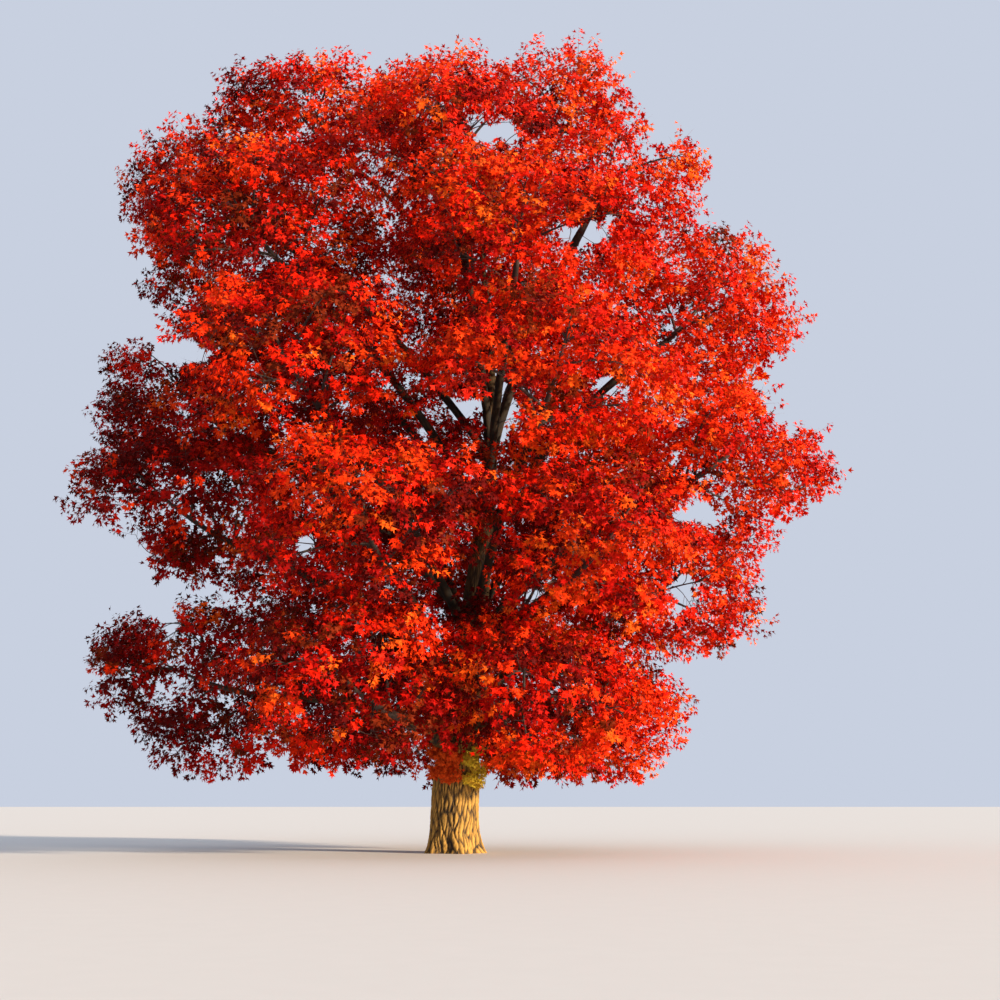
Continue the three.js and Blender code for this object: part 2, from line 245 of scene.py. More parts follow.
# The tints of the leaves: the colour in 8-bit sRGB, how common it is, and how much commoner it gets to the
# right, to the top and deeper in a mass. These shifts are painted light and shade: pale tints gather to the
# right and the top, where the key light falls, and dark ones to the left, low down and deep within, where
# shade falls.
TINTS = {
    "scarlet": ((218, 24, 5), 0.55, 0.15, 0.3, -0.15),
    "poppy": ((232, 42, 8), 0.58, 0.28, 0.3, -0.25),
    "vermilion": ((238, 54, 12), 0.5, 0.3, 0.2, -0.3),
    "flame": ((242, 80, 18), 0.27, 0.2, 0.1, -0.2),
    "rose": ((222, 32, 18), 0.2, 0.1, 0.2, -0.05),
    "ruby": ((172, 12, 6), 0.32, -0.1, -0.15, 0.1),
    "crimson": ((142, 8, 6), 0.3, -0.34, -0.25, 0.3),
    "garnet": ((92, 7, 6), 0.24, -0.42, -0.3, 0.4),
    "russet": ((116, 32, 10), 0.22, -0.32, -0.3, 0.1),
    "amber": ((200, 70, 22), 0.02, 0.01, -0.01, 0),
}
# Painted light and shade: the tints turn paler across towards the key light on the right and above the
# middle height, darker deep in a mass, and lighter and darker in puffs.
FULL_RIGHT = 6.2  # across, where a tint has got as much commoner as it says
MID_HEIGHT = 9  # above the ground, where upwards is counted from
PUFF_SHADE = 0.5  # how much lighter or darker a puff is, where 1 is as much as from the middle to the side
INWARD_FROM = 0.8  # from the side of a mass
INWARD_MOST = 1.5
RAREST = 0.01
SPROUT_TINTS = {"gold": (255, 190, 64), "coral": (250, 84, 32)}

LOWEST = 1.2  # above the ground, of any leaf
REACH_MARGIN = 0.02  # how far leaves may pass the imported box, to its sides


def srgb(red, green, blue):
    """A colour given in 8-bit sRGB, as the linear numbers that a shader takes."""
    shares = [channel / 255 for channel in (red, green, blue)]
    return tuple(c / 12.92 if c <= 0.04045 else ((c + 0.055) / 1.055) ** 2.4 for c in shares)


def unit(ways):
    return ways / np.maximum(np.linalg.norm(ways, axis=-1, keepdims=True), 1e-9)


def lerp(low, high, share):
    return low + (high - low) * share


def dot(a, b):
    return (a * b).sum(axis=-1, keepdims=True)


def dice(seed):
    """The seeded source of numbers from 0 to 1 that the solids were grown by."""
    mask = 0xFFFFFFFF
    state = seed & mask
    while True:
        state = (state + 0x6D2B79F5) & mask
        t = ((state ^ (state >> 15)) * (state | 1)) & mask
        t ^= (t + ((t ^ (t >> 7)) * (t | 61))) & mask
        yield (t ^ (t >> 14)) / 4294967296


def trunk_axis(z):
    z = np.asarray(z, float)
    x = FOOT_OFFSET + TRUNK_LEAN * (1 - np.cos(math.pi * z / LEAN_HEIGHT)) / 2
    return np.stack([x, np.zeros_like(z), z], axis=-1)


def trunk_radius(z):
    share = np.clip((TRUNK_HEIGHT - z) / (TRUNK_HEIGHT - CHEST_HEIGHT), 0, 1) ** TRUNK_TAPER
    return lerp(TRUNK_TIP_RADIUS, TRUNK_RADIUS, share)


def rounded(place):
    """A place or way in the rounded space, where every mass is a true ball."""
    return np.asarray(place) / (1, 1, FLATTENING)


def lay_out_masses():
    """Where each mass of foliage stands, its walls, and the height where its bough leaves the trunk."""
    masses = []
    for tier in TIERS:
        for i in range(tier.count):
            angle = math.radians(tier.turn + 360 * i / tier.count)
            side = tier.right if math.cos(angle) > 0 else tier.left
            height, reach = (lerp(a, b, math.cos(angle) ** 2) for a, b in zip(tier.across, side))
            out = reach - tier.radius
            middle = np.array([out * math.cos(angle), out * math.sin(angle), height])
            fork = tier.fork + i % 2 * FORK_STEP
            masses.append(SimpleNamespace(middle=middle, radius=tier.radius, fork=fork))
    for top in CREST:
        masses.append(SimpleNamespace(middle=np.array(top.middle), radius=top.radius, fork=top.fork))
    for number, mass in enumerate(masses):
        mass.seed = number + 1
        others = [other for other in masses if other is not mass]
        across = np.array([rounded(other.middle - mass.middle) for other in others])
        apart = np.linalg.norm(across, axis=1)
        radii = np.array([other.radius for other in others])
        mass.walls = across / apart[:, None]
        mass.offsets = (apart**2 + mass.radius**2 - radii**2) / (2 * apart) - WALL
        mass.tip_radius = min(BOUGH_TIP_RADIUS, BOUGH_TIP_SHARE * trunk_radius(mass.fork))
        mass.outward = unit(mass.middle - trunk_axis(mass.fork))
    return masses


def point_along(mass, way, share, cap=1):
    """The point on a way from a mass's middle, at a share of the way to the side of its space."""
    rise = rounded(way)
    length = np.linalg.norm(rise)
    facing = mass.walls @ rise / length
    room = min([mass.radius, *(mass.offsets[facing > 0] / facing[facing > 0])])
    return mass.middle + way * min(room * share, mass.radius * cap) / length


def bezier(start, bend, end, shares):
    """Points on quadratic curves, whose ends and bends are (N, 3), at shares of the way: (N, R, 3)."""
    t = np.asarray(shares)[None, :, None]
    return (1 - t) ** 2 * start[:, None] + 2 * t * (1 - t) * bend[:, None] + t**2 * end[:, None]


def even(points, shares):
    """The points at shares of the length of a path that is given by many points."""
    steps = np.linalg.norm(np.diff(points, axis=0), axis=1)
    along = np.concatenate([[0], np.cumsum(steps)]) / steps.sum()
    return np.stack([np.interp(shares, along, points[:, k]) for k in range(3)], axis=-1)


def length_of(path):
    return np.linalg.norm(np.diff(path, axis=0), axis=1).sum()


def grow_limbs(masses):
    """Gives each mass the paths of its bough, if it has one, of its stem and of its twigs."""
    fine = np.linspace(0, 1, PATH_POINTS)
    for mass in masses:
        foot = trunk_axis(mass.fork)
        on_top = mass.fork == TRUNK_HEIGHT
        entry = foot if on_top else point_along(mass, -mass.outward, STEM_MARGIN, STEM_ENTRY)
        bend = (foot + entry) / 2 + [0, 0, BOUGH_ARCH * np.linalg.norm(entry - foot)]
        onward = np.array([0, 0, 1]) if on_top else unit(entry - bend)
        tip = point_along(mass, mass.outward, STEM_MARGIN, STEM_REACH)
        turn = entry + onward * np.linalg.norm(tip - entry) * STEM_SWEEP
        mass.bough = None if on_top else bezier(foot[None], bend[None], entry[None], fine)[0]
        mass.stem = bezier(entry[None], turn[None], tip[None], fine)[0]
        ends = [(foot, end) for foot, end in twig_ends(mass) if not in_inlet(foot / 2 + end / 2, end)]
        mass.twigs = [twig_path(foot, end) for foot, end in ends]


def twig_ends(mass):
    """The two ends of each twig of a mass: on its stem, and spread evenly over its outer side."""
    roll = dice(mass.seed)
    first = next(roll) * 2 * math.pi
    level = unit(np.array([-mass.outward[1], mass.outward[0], 0]))
    upright = np.cross(mass.outward, level)
    for i in range(TWIG_COUNT):
        onward = lerp(1, TWIG_BACKMOST, (i + 0.5) / TWIG_COUNT) + (next(roll) - 0.5) * TWIG_JITTER
        angle = first + GOLDEN_TURN * i + (next(roll) - 0.5) * TWIG_JITTER
        spread = math.sqrt(max(0, 1 - onward**2))
        way = mass.outward * onward + (level * math.cos(angle) + upright * math.sin(angle)) * spread
        fork = lerp(FIRST_FORK, LAST_FORK, min(max(onward, 0), 1))
        yield even(mass.stem, [fork])[0], point_along(mass, way, TWIG_REACH)


def twig_path(foot, end):
    """A twig between its ends, arched a little."""
    bend = (foot + end) / 2 + [0, 0, TWIG_ARCH * np.linalg.norm(end - foot)]
    return bezier(foot[None], bend[None], end[None], np.linspace(0, 1, TWIG_POINTS))[0]


def grown_masses():
    """The masses of foliage, with the paths of their limbs."""
    masses = lay_out_masses()
    grow_limbs(masses)
    return masses


def arrays_of(bm):
    """The places of a mesh's vertices, and its faces, which are triangles. The mesh is then freed."""
    bm.verts.index_update()
    places = np.array([vertex.co for vertex in bm.verts])
    faces = np.array([[vertex.index for vertex in face.verts] for face in bm.faces])
    bm.free()
    return places, faces


def copies_of(faces, count, corners):
    """The faces of many copies, one after another, of a mesh with so many corners."""
    return (faces + corners * np.arange(count)[:, None, None]).reshape(-1, 3)


def unit_rod(sides, rings, pointed=False):
    """A closed rod of triangles: the angle and ring of each vertex, and the faces."""
    bm = bmesh.new()
    tip = 0 if pointed else 1
    bmesh.ops.create_cone(bm, cap_ends=True, segments=sides, radius1=1, radius2=tip, depth=1)
    upright = [edge for edge in bm.edges if abs(edge.verts[0].co.z - edge.verts[1].co.z) > 0.5]
    if rings > 2:
        bmesh.ops.subdivide_edges(bm, edges=upright, cuts=rings - 2, use_grid_fill=True)
    bmesh.ops.triangulate(bm, faces=bm.faces[:])
    place, faces = arrays_of(bm)
    angle = np.arctan2(place[:, 1], place[:, 0])
    ring = np.rint((place[:, 2] + 0.5) * (rings - 1)).astype(int)
    return angle, ring, faces


def rods(paths, radii, sides, pointed=False, relief=None):
    """Closed rods along paths (N, R, 3), with radii (N, R): their places, faces and height of relief."""
    count, rings = radii.shape
    angle, ring, faces = unit_rod(sides, rings, pointed)
    tangent = unit(np.gradient(paths, axis=1))
    chord = unit(paths[:, -1] - paths[:, 0])[:, None]
    across = unit(np.cross(tangent, np.where(np.abs(chord[..., 2:]) < STEEP, (0, 0, 1), (1, 0, 0))))
    other = np.cross(tangent, across)
    steps = np.linalg.norm(np.diff(paths, axis=1), axis=2)
    along = np.concatenate([np.zeros((count, 1)), np.cumsum(steps, axis=1)], axis=1)[:, ring]
    out = radii[:, ring].copy()
    height = np.ones_like(out)
    if relief:
        height = relief(np.broadcast_to(angle, out.shape), along)
        out *= lerp(1 - BOUGH_FURROW, 1, height)
    if pointed:
        out[:, ring == rings - 1] = 0
    circle = np.cos(angle)[:, None] * across[:, ring] + np.sin(angle)[:, None] * other[:, ring]
    places = paths[:, ring] + circle * out[..., None]
    return places.reshape(-1, 3), copies_of(faces, count, len(angle)), height.ravel()


def furrows(angle, along, plates, plate_length, seed):
    """How far bark stands out: 0 in the furrows between its long plates, and 1 on the plates."""
    rng = np.random.default_rng(seed)
    across = angle / (2 * math.pi) * plates
    up = along / plate_length
    across = across + 0.32 * np.sin(2.3 * up + angle) + 0.18 * np.sin(5.1 * up - 2 * angle)
    rows = int(up.max()) + 3
    shift = rng.random((plates, rows + 2, 2))
    nearest = np.full(np.shape(across), np.inf)
    second = nearest.copy()
    for step_across in (-1, 0, 1):
        for step_up in (-1, 0, 1):
            column = np.floor(across).astype(int) + step_across
            row = np.floor(up).astype(int) + step_up
            jitter = shift[column % plates, (row + 1) % (rows + 2)]
            far = np.hypot(across - column - jitter[..., 0], up - row - jitter[..., 1])
            second = np.minimum(second, np.maximum(nearest, far))
            nearest = np.minimum(nearest, far)
    edge = np.clip((second - nearest) / FURROW_BREADTH, 0, 1)
    return edge * edge * (3 - 2 * edge)


def add_object(name, data):
    item = bpy.data.objects.new(name, data)
    bpy.context.scene.collection.objects.link(item)
    return item


def add_piece(name, places, faces, material, nodes=()):
    """A piece of the tree, from places and triangles. It rides on the root and stands for solids."""
    mesh = bpy.data.meshes.new(name)
    mesh.vertices.add(len(places))
    mesh.vertices.foreach_set("co", np.asarray(places, np.float32).ravel())
    mesh.loops.add(faces.size)
    mesh.loops.foreach_set("vertex_index", np.asarray(faces, np.int32).ravel())
    mesh.polygons.add(len(faces))
    mesh.polygons.foreach_set("loop_start", np.arange(0, faces.size, 3, dtype=np.int32))
    mesh.update(calc_edges=True)
    mesh.materials.append(material)
    piece = add_object(name, mesh)
    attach(piece, "root")
    if nodes:
        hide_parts(*nodes)
    return piece


def add_height(piece, height):
    """Stores the bark's height at each vertex, for its colour."""
    attribute = piece.data.attributes.new("height", "FLOAT", "POINT")
    attribute.data.foreach_set("value", np.asarray(height, np.float32))


def solids(start):
    """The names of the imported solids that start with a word."""
    return sorted(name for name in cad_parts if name.startswith(start))


class Link:
    """The output of a shader node. Sums written with it add Math nodes."""

    def __init__(self, shader, socket):
        self.shader = shader
        self.socket = socket

    def math(self, operation, *terms):
        return self.shader.node("ShaderNodeMath", {"operation": operation}, dict(enumerate(terms)))

    def __add__(self, other):
        return self.math("ADD", self, other)

    def __mul__(self, other):
        return self.math("MULTIPLY", self, other)

    def __sub__(self, other):
        return self.math("SUBTRACT", self, other)

    def __rsub__(self, other):
        return self.math("SUBTRACT", other, self)

    __radd__ = __add__
    __rmul__ = __mul__


class Shader:
    """A material, and one method for each node of it."""

    def __init__(self, name):
        self.material = bpy.data.materials.new(name)
        self.material.use_nodes = True
        self.nodes = self.material.node_tree.nodes
        self.nodes.clear()

    def node(self, kind, settings, inputs, output=0):
        """Adds a node: settings first, then the values or links of its sockets. Gives an output, if any."""
        node = self.nodes.new(kind)
        for name, value in settings.items():
            setattr(node, name, value)
        for name, value in inputs.items():
            if isinstance(value, Link):
                self.material.node_tree.links.new(value.socket, node.inputs[name])
            else:
                node.inputs[name].default_value = value
        return Link(self, node.outputs[output]) if node.outputs else None

    def place(self):
        return self.node("ShaderNodeTexCoord", {}, {}, "Object")

    def noise(self, scale, detail=4, stretch=(1, 1, 1)):
        spot = self.node("ShaderNodeMapping", {}, {"Vector": self.place(), "Scale": stretch})
        return self.node("ShaderNodeTexNoise", {}, {"Vector": spot, "Scale": scale, "Detail": detail})

    def mix(self, share, first, second):
        return self.node("ShaderNodeMix", {"data_type": "RGBA"}, {0: share, 6: first, 7: second}, 2)

    def bump(self, height, strength, distance):
        inputs = {"Height": height, "Strength": strength, "Distance": distance}
        return self.node("ShaderNodeBump", {}, inputs)

    def surface(self, inputs):
        """Ends the material with a Principled shader, and gives it back."""
        bsdf = self.node("ShaderNodeBsdfPrincipled", {}, inputs)
        self.node("ShaderNodeOutputMaterial", {}, {"Surface": bsdf})
        return self.material


def shaded(colour, share=1):
    """A colour made darker or lighter, as a shader takes it."""
    return (*[min(c * share, 1) for c in colour], 1)


def bark_finish(name, settings, painted_shade_lightness):
    """Bark: dark in its furrows, paler and warmer on its plates, with a fine scaly grain; higher up, and
    all over on the boughs, it is darkened as painted shade.
    """
    shader = Shader(name)
    height = shader.node("ShaderNodeAttribute", {"attribute_name": "height"}, {}, "Fac")
    streaks = shader.noise(scale=26, detail=6, stretch=(1, 1, 0.16))
    patches = shader.noise(scale=2.2, detail=3)
    grain = shader.noise(scale=110, detail=5, stretch=(1, 1, 0.3))
    plate_colours = (settings.plate_colour, settings.pale_plate_colour)
    plate = shader.mix(patches, *[shaded(colour, painted_shade_lightness) for colour in plate_colours])
    furrow = shaded(settings.furrow_colour, painted_shade_lightness)
    share = height * 1.05 - 0.1 + (streaks - 0.5) * 0.9
    # Painted shade: above the height where it begins, the bark is mixed up to 85% of the way to its furrow
    # colour, for the crown's shade on the upper trunk and the boughs.
    rise = 1 / (settings.painted_shade_full - settings.painted_shade_from)
    z = shader.node("ShaderNodeSeparateXYZ", {}, {"Vector": shader.place()}, "Z")
    above = shader.node("ShaderNodeClamp", {}, {"Value": z * rise - settings.painted_shade_from * rise})
    colour = shader.mix(above * 0.85, shader.mix(share, furrow, plate), furrow)
    return shader.surface({
        "Base Color": colour,
        "Roughness": 0.82 + grain * 0.15,
        "Normal": shader.bump(streaks * 0.7 + grain * 0.3, strength=0.7, distance=0.012),
    })


def twig_finish(name, colour):
    """The smooth young bark of stems and twigs, in fine streaks of two shades."""
    shader = Shader(name)
    streaks = shader.noise(scale=40, detail=4, stretch=(1, 1, 0.4))
    return shader.surface({
        "Base Color": shader.mix(streaks, shaded(colour, 0.6), shaded(colour, 1.4)),
        "Roughness": 0.6 + streaks * 0.3,
        "Normal": shader.bump(streaks, strength=0.4, distance=0.003),
    })


def leaf_finish(name, colour, settings):
    """One tint of autumn leaf: dull, and puckered between its veins, in dark and pale orange patches at
    random, which are partly the leaf's own tone and partly painted light: painted shade at the dark end and
    painted highlights at the pale end.
    """
    shader = Shader(name)
    pucker = shader.noise(scale=55, detail=2)
    # Stretched, so that most leaves are fully one shade or the other: half the tint as painted shade, or
    # paler and more orange as a painted highlight.
    tone_and_light_patch = (shader.noise(scale=9, detail=2) - 0.5) * 2.4 + 0.5
    pale_tone_and_highlight = shaded([c * more for c, more in zip(colour, (1.2, 1.55, 1.3))])
    return shader.surface({
        "Base Color": shader.mix(tone_and_light_patch, shaded(colour, 0.5), pale_tone_and_highlight),
        "Roughness": settings.leaf_roughness - 0.1 + pucker * 0.2,
        "Specular IOR Level": 0.04,
        "Normal": shader.bump(pucker, strength=0.35, distance=0.006),
    })


def length_setting(name, description, default):
    return FloatProperty(name=name, description=description, default=default, unit="LENGTH")


def angle_setting(name, description, degrees):
    return FloatProperty(name=name, description=description, default=math.radians(degrees), subtype="ANGLE")


def colour_setting(name, description, default):
    return FloatVectorProperty(name=name, description=description, default=default, subtype="COLOR")


class BarkSettings(bpy.types.PropertyGroup):
    """The bark of the trunk and the boughs."""

    furrow_depth: length_setting("Furrow depth", "Depth of the furrows at chest height", 0.04)
    plates: IntProperty(name="Plates", description="Plates round the trunk", default=40, min=5)
    plate_length: length_setting("Plate length", "Length of a plate", 0.38)
    bough_plates: IntProperty(name="Bough plates", description="Plates round a bough", default=6, min=3)
    plate_colour: colour_setting("Plate colour", "Colour of most plates", srgb(172, 128, 54))
    pale_plate_colour: colour_setting("Pale plate colour", "Colour of the paler plates", srgb(204, 160, 76))
    furrow_colour: colour_setting("Furrow colour", "Colour of the furrows", srgb(40, 30, 21))
    # Where the painted shade of the crown begins on the bark, and where it is darkest.
    painted_shade_from: length_setting("Darker above", "Height where the bark begins to darken", 2)
    painted_shade_full: length_setting("Darkest above", "Height where the bark is darkest", 4)


class FoliageSettings(bpy.types.PropertyGroup):
    """The twigs and leaves of the crown."""

    leaf_length: length_setting("Leaf length", "Length of the blade of a full leaf", 0.118)
    clump_radius: length_setting("Clump radius", "Reach of the shoots of a clump", 0.58)
    near_spacing: length_setting("Outer spacing", "Between clumps at the crown's outside", 0.6)
    far_spacing: length_setting("Inner spacing", "Between clumps deep in the crown", 0.96)
    hollow_depth: length_setting("Hollows", "Depth of the hollows between the puffs of a mass", 0.55)
    droop: FloatProperty(name="Droop", description="How far leaves hang, to their spread", default=0.9)
    scatter: FloatProperty(name="Scatter", description="How far leaves turn from the light", default=0.4)
    leaf_roughness: FloatProperty(name="Roughness", description="Of the leaves", default=0.6, min=0, max=1)
    seed: IntProperty(name="Seed", description="Of the sprays and leaves", default=7)


class StageSettings(bpy.types.PropertyGroup):
    """The floor, the lights and the background."""

    floor_colour: colour_setting("Floor", "Colour of the floor", srgb(216, 214, 210))
    sky_colour: colour_setting("Background", "Colour of the background", srgb(200, 208, 224))
    sky_strength: FloatProperty(name="Fill", description="Strength of the background's light", default=1)
    key_strength: FloatProperty(name="Key", description="Strength of the key light", default=9)
    key_colour: colour_setting("Key colour", "Colour of the key light", (1, 0.8, 0.58))
    key_azimuth: angle_setting("Key azimuth", "Round from behind the camera to the right", 60)
    key_elevation: angle_setting("Key elevation", "Above the horizon", 12)
    key_softness: angle_setting("Key softness", "Breadth of the key light, as an angle", 4)


class MAPLE_OT_trunk(bpy.types.Operator):
    """Makes the trunk, with its root flare and furrowed bark"""

    bl_idname = "maple.trunk"
    bl_label = "Trunk"
    sides = 200
    rings = 200
    crowding = 2  # over 1, the rings are closer together near the ground
    scale_length = 0.3  # of the fine scales on the plates, to a plate's
    plate_relief = 0.8
    scale_relief = 0.2
    level = 0.75  # the height of the relief that lies on the trunk's radius

    def execute(self, context):
        settings = context.scene.maple_bark
        angle, ring, faces = unit_rod(self.sides, self.rings)
        z = TRUNK_HEIGHT * (ring / (self.rings - 1)) ** self.crowding
        radius = trunk_radius(z)
        flare = (ROOT_FLARE + RIDGE_DEPTH * np.cos(angle * RIDGE_COUNT)) * np.exp(-z / FLARE_HEIGHT)
        plates = furrows(angle, z, settings.plates, settings.plate_length, seed=3)
        scales = furrows(angle, z, 2 * settings.plates, settings.plate_length * self.scale_length, seed=4)
        height = np.clip(self.plate_relief * plates + self.scale_relief * scales, 0, 1)
        depth = settings.furrow_depth * radius / TRUNK_RADIUS
        out = radius + flare - depth * (self.level - height)
        axis = trunk_axis(z)
        places = axis + np.stack([out * np.cos(angle), out * np.sin(angle), 0 * z], axis=-1)
        finish = bark_finish("trunk_bark", settings, 1)
        piece = add_piece("trunk_bark", places, faces, finish, solids("trunk"))
        add_height(piece, height)
        return {"FINISHED"}


class MAPLE_OT_boughs(bpy.types.Operator):
    """Makes the boughs, from the trunk's axis to their masses of foliage"""

    bl_idname = "maple.boughs"
    bl_label = "Boughs"
    sides = 12
    rings = 36
    collar = 0.55  # how much a bough swells where it leaves the trunk, to its radius
    collar_length = 0.28
    plate_length = 0.3
    # Painted shade: the boughs' bark is darkened to 0.32 of the trunk's, for the crown's shade on them.
    painted_shade_lightness = 0.32  # of the bark, to the trunk's

    def execute(self, context):
        settings = context.scene.maple_bark
        carried = [mass for mass in grown_masses() if mass.bough is not None]
        shares = np.linspace(0, 1, self.rings)
        paths = np.array([even(mass.bough, shares) for mass in carried])
        radii = np.array([self.radii(mass, shares) for mass in carried])

        def relief(angle, along):
            return furrows(angle, along, settings.bough_plates, self.plate_length, seed=5)

        places, faces, height = rods(paths, radii, self.sides, relief=relief)
        finish = bark_finish("bough_bark", settings, self.painted_shade_lightness)
        piece = add_piece("bough_bark", places, faces, finish, solids("bough_"))
        add_height(piece, height)
        return {"FINISHED"}

    def radii(self, mass, shares):
        trunk = trunk_radius(mass.fork)
        base = max(BOUGH_SHARE * trunk, mass.tip_radius)
        length = length_of(mass.bough)
        past = np.maximum(shares * length - trunk, 0)
        return lerp(base, mass.tip_radius, shares) * (1 + self.collar * np.exp(-past / self.collar_length))


class MAPLE_OT_twigs(bpy.types.Operator):
    """Makes the stem and the twigs of each mass of foliage"""

    bl_idname = "maple.twigs"
    bl_label = "Stems and twigs"
    foot_radius = 0.034
    tip_radius = 0.011
    rings = 14  # of a stem
    swelling = 0.8  # under 1, a stem is slimmer at its middle than an even taper

    def execute(self, context):
        masses = grown_masses()
        shares = np.linspace(0, 1, self.rings)
        stems = np.array([even(mass.stem, shares) for mass in masses])
        radii = np.array([lerp(mass.tip_radius, self.tip_radius, shares**self.swelling) for mass in masses])
        places, faces, _ = rods(stems, radii, sides=9)
        finish = twig_finish("stem_bark", srgb(58, 44, 38))
        add_piece("stems", places, faces, finish, solids("foliage_"))
        twigs = np.array([path for mass in masses for path in mass.twigs])
        taper = lerp(self.foot_radius, self.tip_radius, np.linspace(0, 1, TWIG_POINTS))
        radii = np.broadcast_to(taper, twigs.shape[:2])
        places, faces, _ = rods(twigs, radii, sides=6)
        add_piece("twigs", places, faces, finish, solids("foliage_"))
        return {"FINISHED"}


class MAPLE_OT_sprays(bpy.types.Operator):
    """Makes the branchlets, shoots and leaves of the crown"""

    bl_idname = "maple.sprays"
    bl_label = "Sprays of leaves"
    sizes = (0.8, 1.15)  # of the clumps, to the radius set
    deep_from = 1.2  # from the side of a mass
    deep_leaf = 1.2  # the size of a leaf there, to the others'
    thinned = 0.3  # of the leaves there
    cleared = 0.85  # of the shoots in a gap
    fewest_in_clump = 50  # leaves, or the clump goes
    fewest_on_shoot = 2
    clump_tint = 0.5  # of the shoots have their clump's tint, and the rest one of their own

    def execute(self, context):
        settings = context.scene.maple_foliage
        rng = np.random.default_rng(settings.seed)
        masses = grown_masses()
        spots, owners, depth = scatter(masses, settings, rng)
        feet, leads = roots_of(spots, owners, masses)
        inner = along_boughs(masses, spots, rng)
        feet, leads, spots = [np.concatenate(pair) for pair in zip((feet, leads, spots), inner)]
        depth = np.concatenate([depth, np.full(len(inner[0]), DEEPEST)])
        # A clump faces away from the trunk, on from its branchlet and a little up.
        away = unit((spots - trunk_axis(spots[:, 2])) * (1, 1, 0))
        outward = unit(0.5 * away + 0.8 * unit(spots - feet) + (0, 0, 0.2))
        size = settings.clump_radius * rng.uniform(*self.sizes, (len(spots), 1))
        deep = depth > self.deep_from
        leaf = settings.leaf_length * np.where(deep, self.deep_leaf, 1)[:, None]
        sprays = grow_sprays(feet, leads, spots, outward, size, leaf, settings, rng)
        self.open_gaps(sprays, spots, deep, rng)
        add_wood("crown", sprays, solids("foliage_"))
        # The tints are dealt by place and paint light and shade; the clumps along the boughs count as
        # deepest, and so take the darkest.
        tint = np.repeat(deal_tints(spots, depth, rng), SHOOTS)
        own = deal_tints(np.repeat(spots, SHOOTS, axis=0), np.repeat(depth, SHOOTS), rng)
        tint = np.where(rng.random(len(tint)) < self.clump_tint, tint, own)
        for number, (name, (colour, *_)) in enumerate(TINTS.items()):
            mine = pick(sprays.leaves, tint[sprays.leaves[-1]] == number)
            add_leaves(name, mine, srgb(*colour), settings, solids("foliage_"))
        return {"FINISHED"}

    def open_gaps(self, sprays, spots, deep, rng):
        """Takes out what stands in a gap, and the wood that is left without leaves."""
        shoots = len(sprays.shoots)
        owner = sprays.leaves[-1]
        stays = ~in_gap(sprays.shoots.mean(axis=1), rng) | (rng.random(shoots) > self.cleared)
        thin = deep[owner // SHOOTS] & (rng.random(len(owner)) < self.thinned)
        kept = keep_leaves(sprays.leaves, rng) & stays[owner] & ~thin
        left = np.bincount(owner[kept], minlength=shoots)
        twiggy = in_gap(spots, rng, SKY_GAPS.values())
        cut = np.array([in_inlet(path[BRANCHLET_POINTS // 2]) for path in sprays.branchlets])
        grown = (twiggy | (left.reshape(-1, SHOOTS).sum(axis=1) > self.fewest_in_clump)) & ~cut
        stays &= (np.repeat(twiggy, SHOOTS) | (left > self.fewest_on_shoot)) & np.repeat(grown, SHOOTS)
        sprays.leaves = pick(sprays.leaves, kept & stays[owner])
        sprays.shoots = sprays.shoots[stays]
        sprays.branchlets = sprays.branchlets[grown]
        sprays.length = sprays.length[grown]


class MAPLE_OT_sprouts(bpy.types.Operator):
    """Makes the golden sprouts on the upper trunk, and the red sprays that hang round them"""

    bl_idname = "maple.sprouts"
    bl_label = "Sprouts on the trunk"
    # of each sprout: its height, and degrees round the trunk from the right
    gold = ((1.48, -42), (1.56, -62), (1.7, -34), (1.86, -54), (1.98, -68), (2.12, -42))
    coral = (
        (1.86, -12), (1.98, -26),
        (1.66, -98), (1.72, -122), (1.84, -108), (2.0, -100), (2.06, -118), (2.14, -134),
    )
    sunk = 0.03  # into the trunk
    hang = 0.1
    lead = 0.5  # how far a sprout rises where it leaves the trunk
    leaf_share = 0.5  # of a leaf's length, to its sprout's size

    def execute(self, context):
        settings = context.scene.maple_foliage
        rng = np.random.default_rng(settings.seed + 1)
        self.grow("gold", self.gold, settings, rng, length=0.16, size=0.13)
        self.grow("coral", self.coral, settings, rng, length=0.26, size=0.19)
        return {"FINISHED"}

    def grow(self, name, places, settings, rng, length, size):
        heights, degrees = np.array(places).T
        angle = np.radians(degrees)
        out = np.stack([np.cos(angle), np.sin(angle), 0 * angle], axis=-1)
        feet = trunk_axis(heights) + out * (trunk_radius(heights) - self.sunk)[:, None]
        tips = feet + out * length - (0, 0, self.hang)
        leads = unit(out + (0, 0, self.lead))
        size = np.full((len(feet), 1), size)
        sprays = grow_sprays(feet, leads, tips, out, size, size * self.leaf_share, settings, rng)
        add_wood(name, sprays, ())
        add_leaves(name, sprays.leaves, srgb(*SPROUT_TINTS[name]), settings, ())


def pick(leaves, chosen):
    return [part[chosen] for part in leaves]


